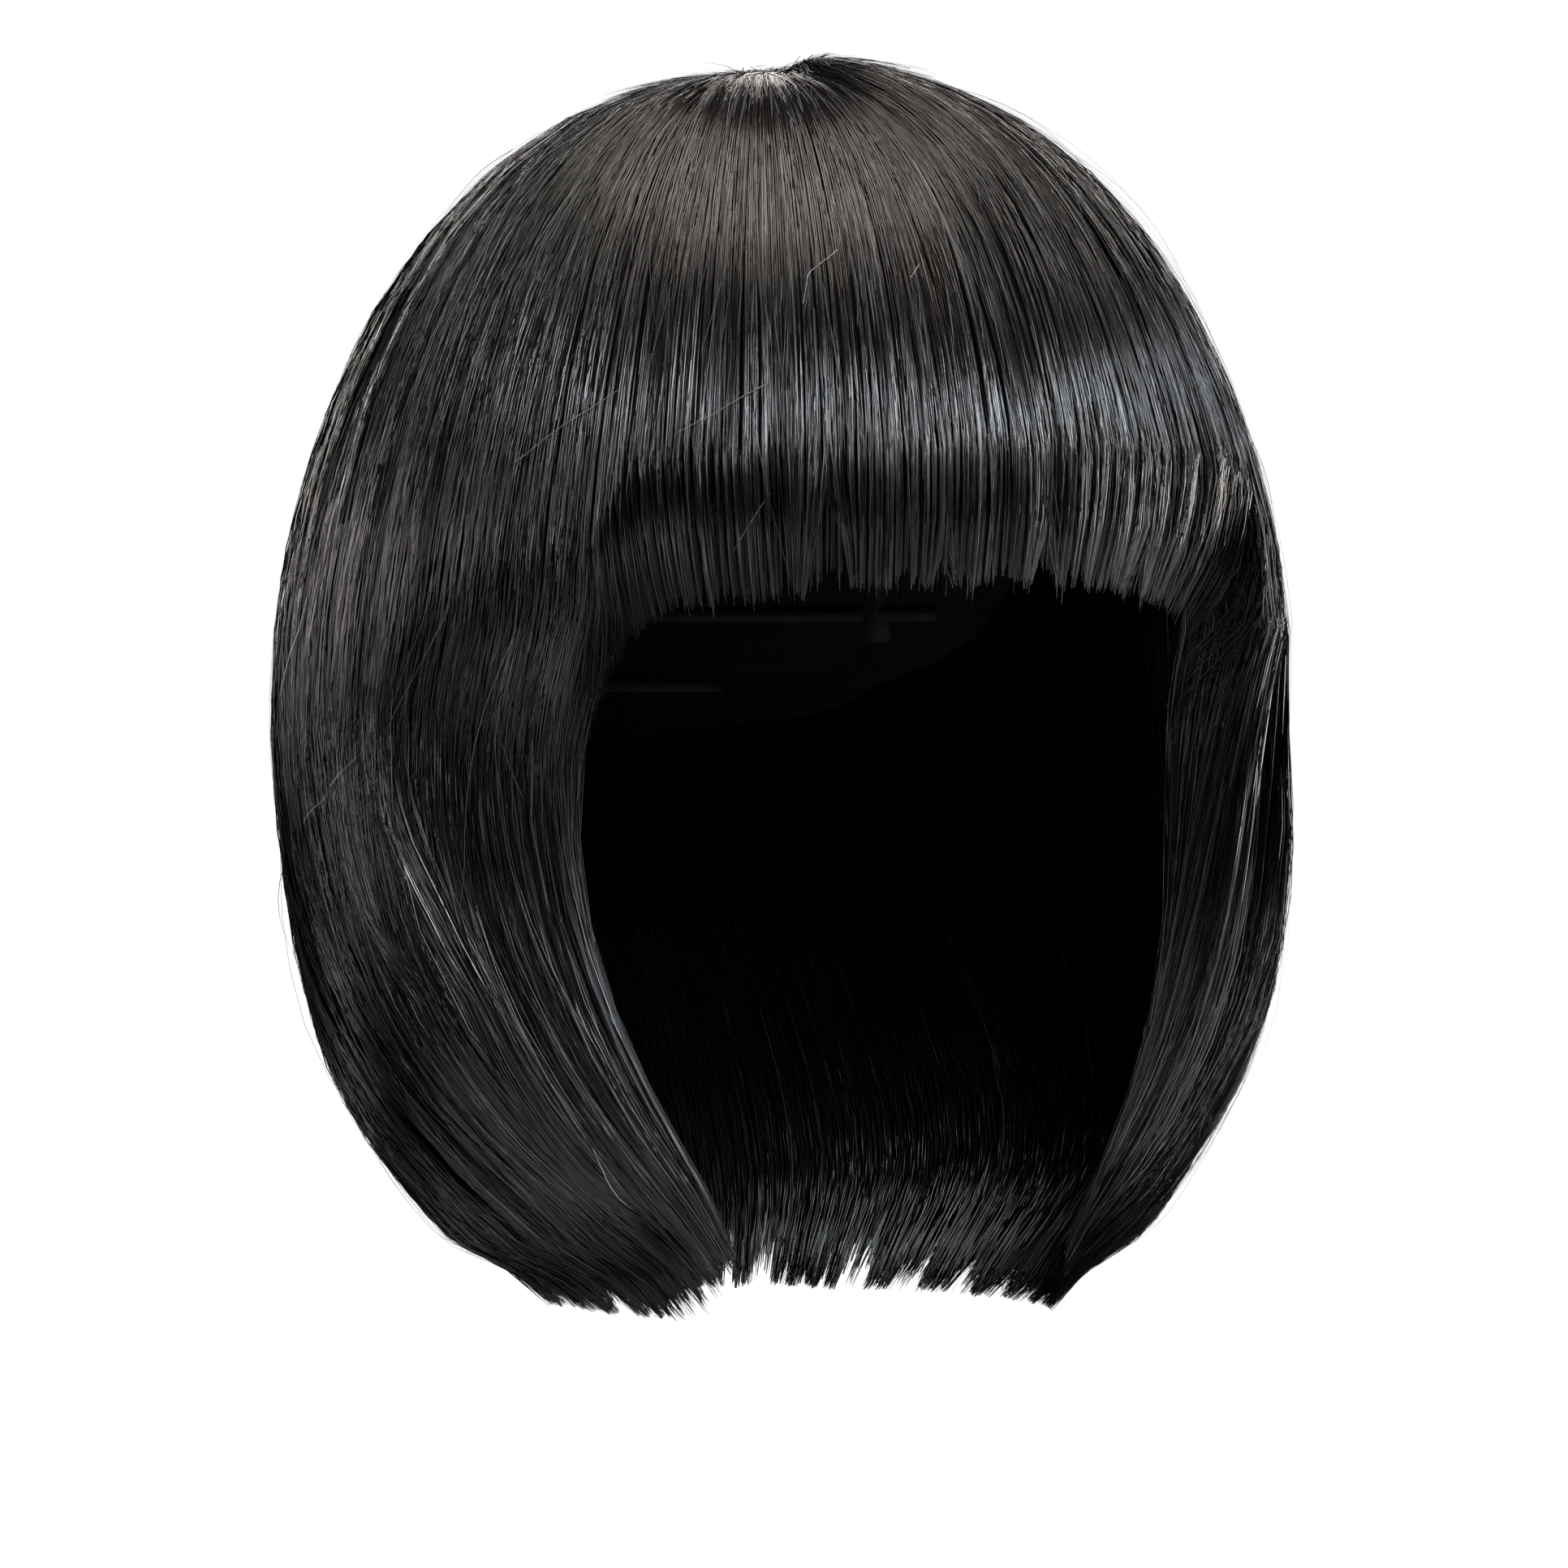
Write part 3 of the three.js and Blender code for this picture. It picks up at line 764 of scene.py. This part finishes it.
# Two locks over the wearer's right cheek and jaw that catch the light, lifted over the others and given
# lighter, glossier strands as a painted highlight: level and angle at the whorl
CHEEK_LOCK = [(1.04, -79), (1.2, -77), (1.29, -74), (1.38, -72.5), (1.5, -74), (1.6, -74.5), (1.8, -72)]
JAW_LOCK = [(1.12, -87), (1.29, -85.5), (1.36, -81.5), (1.45, -82.5), (1.56, -82.5), (1.75, -80)]

# Loose single strands where the photograph shows some: level, angle at the whorl and lift in millimetres
RIGHT_STRAYS = [
    [(1.14, -82, 0.1), (1.17, -88, 0.8), (1.2, -96, 1.2)],
    [(1.03, -62, 0.2), (1.15, -64.5, 0.5), (1.25, -67, 0.4), (1.3, -70, 0.2)],
    [(1.1, -62, 0.2), (1.18, -58, 0.6)],
    [(1.23, -61, 0.2), (1.37, -60, 0.6)],
    [(0.85, -64, 0.3), (0.77, -52, 0.6)],
    [(0.98, -96, 0.1), (1.12, -104, 0.6)],
]
FRINGE_STRAYS = [
    [(0.58, -22, 0.2), (0.62, -27, 1.0), (0.66, -28, 0.3)],
    [(0.62, -11, 0.2), (0.6, -9, 0.6)],
    [(0.76, -33, 0.2), (0.82, -44, 0.9)],
    [(0.88, -33, 0.2), (0.94, -38, 0.9)],
]


def make_fringe():
    hair = Hair()
    FRINGE.mass(hair, 24 * MM)
    fill_section(hair, FRINGE, 6900, FRINGE_STEPS, (0.05, 0.88), wandering=0.5, fringe=True)
    painted_shade_slits(hair, FRINGE, 420, (0.885, 0.905))
    stray_strands(hair, FRINGE, 160, (0.91, 0.95), 0.5 * MM, 2.0)
    placed_strays(hair, FRINGE, FRINGE_STRAYS, (0.955, 0.995))
    finish_piece(hair.build("fringe_hair", HAIR), "hair_fibre", "fringe")


def make_hanging(name, node, section, edge=None, locks=(), strays=()):
    hair = Hair()
    section.mass(hair, 14 * MM)
    fill_section(hair, section, 4700 - 240 * len(locks), STRAND_STEPS, (0.05, 0.67))
    painted_shade_slits(hair, section, 260, (0.675, 0.695))
    for i, course in enumerate(locks):
        laid_lock(hair, section, course, 1.7, 1.5 * MM, 240, (0.7 + 0.02 * i, 0.72 + 0.02 * i))
    fill_inside(hair, section, 950, INNER_STEPS, (0.85, 0.93))
    if edge is not None:
        fill_edge(hair, section, edge, 560, INNER_STEPS, (0.75, 0.84))
    stray_strands(hair, section, 170, (0.94, 0.97), 0.7 * MM, 3.5)
    placed_strays(hair, section, strays, (0.975, 0.995))
    finish_piece(hair.build(name, HAIR), "hair_fibre", node)


def make_whorl():
    """Short hair that springs from the whorl, over a small dark mass."""
    hair = Hair()
    rng = np.random.default_rng(5)
    columns = np.linspace(-180, 180, 49)[:, None]
    t = np.linspace(0.002, WHORL_END + 0.02, 8)[None, :] * np.ones_like(columns)
    height = HAIR_START + pad_at(columns, t) - WHORL_DIMPLE * (1 - smoothstep(t, 0, WHORL_END))
    shell_grid(hair, columns + 0 * t, t, height - 1.2 * MM, False)
    count = int(2300 * FULL)
    steps = 8
    s = np.linspace(0, 1, steps)
    root = rng.uniform(-180, 180, count)[:, None]
    start = 0.0001 + 0.05 * rng.uniform(0, 1, count)[:, None] ** 3
    stop = start + rng.uniform(0.05, 0.22, count)[:, None]
    t = blend(start, stop, s)
    swirl = WHORL_SWIRL * (1 - smoothstep(t, 0, 0.14))
    angle = root + swirl + rng.normal(0, 5, count)[:, None] * s
    dip = rng.uniform(1.2, 4.5, count)[:, None] * MM * (1 - smoothstep(t, 0, WHORL_END))
    spring = rng.exponential(0.45, count)[:, None] * MM * s
    offset = HAIR_START + pad_at(angle, t) - dip + spring - 0.4 * MM * (1 - s)
    width = rng.uniform(0.18, 0.36, count)[:, None] * MM * (1 - 0.7 * s**2)
    # Painted glint: a share of the whorl's short strands get the top tints, a light grey with the least
    # roughness.
    painted_glint = rng.uniform(0, 1, count) < PAINTED_GLINT_SHARE
    tints = np.where(painted_glint, rng.uniform(0.88, 1, count), rng.uniform(0.02, 0.6, count))
    hair.strands(angle, t, offset, width, rng.normal(0, 0.4, count), tints, (0.05, 0.99))
    finish_piece(hair.build("whorl_hair", HAIR), "hair_fibre", "crown_whorl")


def hem_drop(angle):
    """How far down the cap's hem lies at an angle."""
    return HEAD_DEPTH * np.interp(np.abs(angle), HEM_ANGLES, HEM_SHARES)


def tape(angles, t, width):
    """A flat band that lies on the cap's inner side along a path: its points and faces."""
    centre = locate(angles, t, TAPE_OFFSET + 0 * t)
    along = unit(np.gradient(centre, axis=0))
    face = outward(angles, t, TAPE_OFFSET + 0 * t)
    side = unit(np.cross(face, along)) * width / 2
    thick = face * TAPE_THICKNESS / 2
    corners = [-side - thick, side - thick, side + thick, thick - side]
    ring = np.stack([centre + corner for corner in corners], 1)
    count = len(centre)
    index = np.arange(count * 4).reshape(count, 4)
    after = np.roll(index, -1, 1)
    faces = np.stack([index[:-1], index[1:], after[1:], after[:-1]], -1).reshape(-1, 4)
    ends = np.array([index[0], index[-1][::-1]])
    return ring.reshape(-1, 3), np.concatenate([faces, ends])


def make_tapes():
    """Rows of sewn tape round the cap from ear to ear, and straps from the hem up to the crown."""
    points, faces, total = [], [], 0
    paths = []
    for row in range(TAPE_ROWS):
        t = FIRST_ROW + ROW_STEP * row
        angles = np.linspace(-180, 180, 121)
        drop = Level(np.full(angles.shape, t)).drop
        inside = drop < hem_drop(angles) - TAPE_MARGIN
        runs = np.split(np.arange(len(angles)), np.flatnonzero(np.diff(inside.astype(int))) + 1)
        for run in runs:
            if inside[run[0]] and len(run) > 4:
                paths.append((angles[run], np.full(len(run), t), ROW_WIDTH))
    for angle in STRAP_ANGLES:
        last = level_at_drop(hem_drop(angle) - TAPE_MARGIN)
        t = np.linspace(STRAP_START, last, STRAP_STEPS)
        paths.append((np.full(STRAP_STEPS, float(angle)), t, STRAP_WIDTH))
    for angles, t, width in paths:
        ring, quads = tape(angles, t, width)
        points.append(ring)
        faces.append(quads + total)
        total += len(ring)
    points = np.concatenate(points)
    places = np.stack([np.arange(total) % 4 / 4, np.arange(total) / total], -1)
    material = cap_material("cap_tape", 900, 0.4, (0.016, 0.015, 0.015), 0.7)
    piece = make_object("cap_tapes", points, np.concatenate(faces), material, places)
    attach(piece, "root")


# The cap's hem: its drop at angles from the face, in head depths
HEM_ANGLES = [0, 30, 50, 64, 76, 90, 106, 126, 150, 180]
HEM_SHARES = [0.46, 0.52, 0.68, 0.95, 0.92, 0.72, 0.8, 1.06, 1.18, 1.22]
TAPE_OFFSET = -0.35 * MM
TAPE_THICKNESS = 0.5 * MM
TAPE_MARGIN = 9 * MM
TAPE_ROWS = 11
FIRST_ROW = 0.3  # level
ROW_STEP = 0.085
ROW_WIDTH = 3.2 * MM
STRAP_WIDTH = 7 * MM
STRAP_ANGLES = [0, 45, -45, 90, -90, 135, -135, 180]
STRAP_START = 0.12  # level
STRAP_STEPS = 24

make_fringe()
RIGHT_OVER = [CHEEK_LOCK, JAW_LOCK]
make_hanging("right_hair", "side_hair_right", RIGHT, -FRINGE_HALF_ANGLE, RIGHT_OVER, RIGHT_STRAYS)
make_hanging("left_hair", "side_hair_left", LEFT, FRINGE_HALF_ANGLE)
make_hanging("back_hair_of_left", "back_hair", BACK_LEFT)
make_hanging("back_hair_of_right", "back_hair", BACK_RIGHT)
make_whorl()

# The cap stays as built, in textile, with the tapes that carry the hair
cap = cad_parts["wig_cap"]
cap.data.materials.clear()
cap.data.materials.append(cap_material("cap_net", 420, 0.6, (0.0075, 0.007, 0.007), 0.8))
make_tapes()

# Stage

MIDDLE = Vector((0, -0.02, -0.11))
VIEW_TURN = math.radians(-25)
TO_CAMERA = Vector((math.sin(VIEW_TURN), -math.cos(VIEW_TURN), 0))
RIGHTWARD = Vector((math.cos(VIEW_TURN), math.sin(VIEW_TURN), 0))


def softbox(name, place, aim, size, brightness, colour):
    """An even rectangular light. Brightness is what a mirror would show of it."""
    data = bpy.data.lights.new(name, "AREA")
    data.shape = "RECTANGLE"
    data.size, data.size_y = size
    data.energy = brightness * math.pi * size[0] * size[1]
    data.color = colour
    light = bpy.data.objects.new(name, data)
    light.location = place
    light.rotation_euler = (Vector(aim) - Vector(place)).to_track_quat("-Z", "Y").to_euler()
    bpy.context.scene.collection.objects.link(light)


def wall(name, turn, low, high, width, brightness, colour):
    """A softbox, turned from the camera towards the picture's right, from low to high in degrees."""
    elevation = (low + high) / 2
    a, e = math.radians(turn), math.radians(elevation)
    flat = TO_CAMERA * math.cos(a) + RIGHTWARD * math.sin(a)
    place = MIDDLE + WALL_DISTANCE * (flat * math.cos(e) + Vector((0, 0, math.sin(e))))
    height = 2 * WALL_DISTANCE * math.tan(math.radians((high - low) / 2))
    softbox(name, place, MIDDLE, (width, height), brightness, colour)


WALL_DISTANCE = 1.6
WARM = (1, 0.93, 0.87)
COOL = (0.87, 0.93, 1)
PLAIN = (1, 0.95, 0.92)
wall("top_front", 0, 82, 94, 3.2, 5.6, WARM)
wall("top_back", 0, 94, 120, 3.2, 4, WARM)
wall("fringe_high", 35, 31, 41, 1.2, 18, COOL)
wall("fringe_high_right", 68, 30, 39, 1.2, 12, COOL)
wall("fringe_middle", 35, 18, 30, 1.2, 6, COOL)
wall("right_high", 85, 14, 27, 1.2, 19, COOL)
wall("right", 105, 0, 14, 1.4, 3, PLAIN)
wall("right_back", 128, -12, 4, 1.4, 7, PLAIN)
wall("left_front", -60, 5, 20, 0.9, 11, PLAIN)
wall("left_low", -60, -10, 4, 0.9, 1.5, PLAIN)
wall("left_back", -132, 5, 18, 1.4, 2, PLAIN)
wall("behind", 180, 2, 28, 1.6, 3.5, PLAIN)
wall("under", 0, -60, -25, 1.6, 2.5, PLAIN)
wall("under_left", -60, -60, -25, 1.2, 4, PLAIN)

WHITE = (1, 1, 1, 1)
AMBIENT = 0.03
world = bpy.data.worlds.new("studio")
bpy.context.scene.world = world
world.use_nodes = True
tree = world.node_tree
ambient = tree.nodes["Background"]
ambient.inputs["Color"].default_value = WHITE
ambient.inputs["Strength"].default_value = AMBIENT
seen = tree.nodes.new("ShaderNodeBackground")
seen.inputs["Strength"].default_value = 1.0
seen.inputs["Color"].default_value = WHITE
path = tree.nodes.new("ShaderNodeLightPath")
mix = tree.nodes.new("ShaderNodeMixShader")
tree.links.new(path.outputs["Is Camera Ray"], mix.inputs[0])
tree.links.new(ambient.outputs[0], mix.inputs[1])
tree.links.new(seen.outputs[0], mix.inputs[2])
tree.links.new(mix.outputs[0], tree.nodes["World Output"].inputs["Surface"])

FLOOR_HEIGHT = -0.42
bpy.ops.mesh.primitive_plane_add(size=30, location=(0, 0, FLOOR_HEIGHT))
floor = bpy.context.active_object
floor.name = "floor"
floor_material, floor_nodes, _ = node_material("pale_floor")
floor_shader = floor_nodes["Principled BSDF"]
floor_shader.inputs["Base Color"].default_value = (0.9, 0.9, 0.9, 1)
floor_shader.inputs["Roughness"].default_value = 0.9
floor_shader.inputs["Emission Color"].default_value = WHITE
floor_shader.inputs["Emission Strength"].default_value = 1
floor.data.materials.append(floor_material)
floor.visible_diffuse = False
floor.visible_glossy = False

# Camera: the photograph's frame is 1932 pixels wide and takes in 6 pixels a millimetre at the wig
FRAME_PIXELS = 1932
PIXELS_PER_METRE = 6000
DISTANCE = 1.65
SENSOR = 36
AIM = Vector((0, -0.02, -0.1365)) - RIGHTWARD * 3 * MM
camera_data = bpy.data.cameras.new("camera")
camera_data.sensor_width = SENSOR
camera_data.lens = SENSOR * DISTANCE * PIXELS_PER_METRE / FRAME_PIXELS
camera = bpy.data.objects.new("camera", camera_data)
camera.location = AIM + TO_CAMERA * DISTANCE
camera.rotation_euler = (-TO_CAMERA).to_track_quat("-Z", "Y").to_euler()
bpy.context.scene.collection.objects.link(camera)
bpy.context.scene.camera = camera
bpy.context.scene.view_settings.view_transform = "Standard"
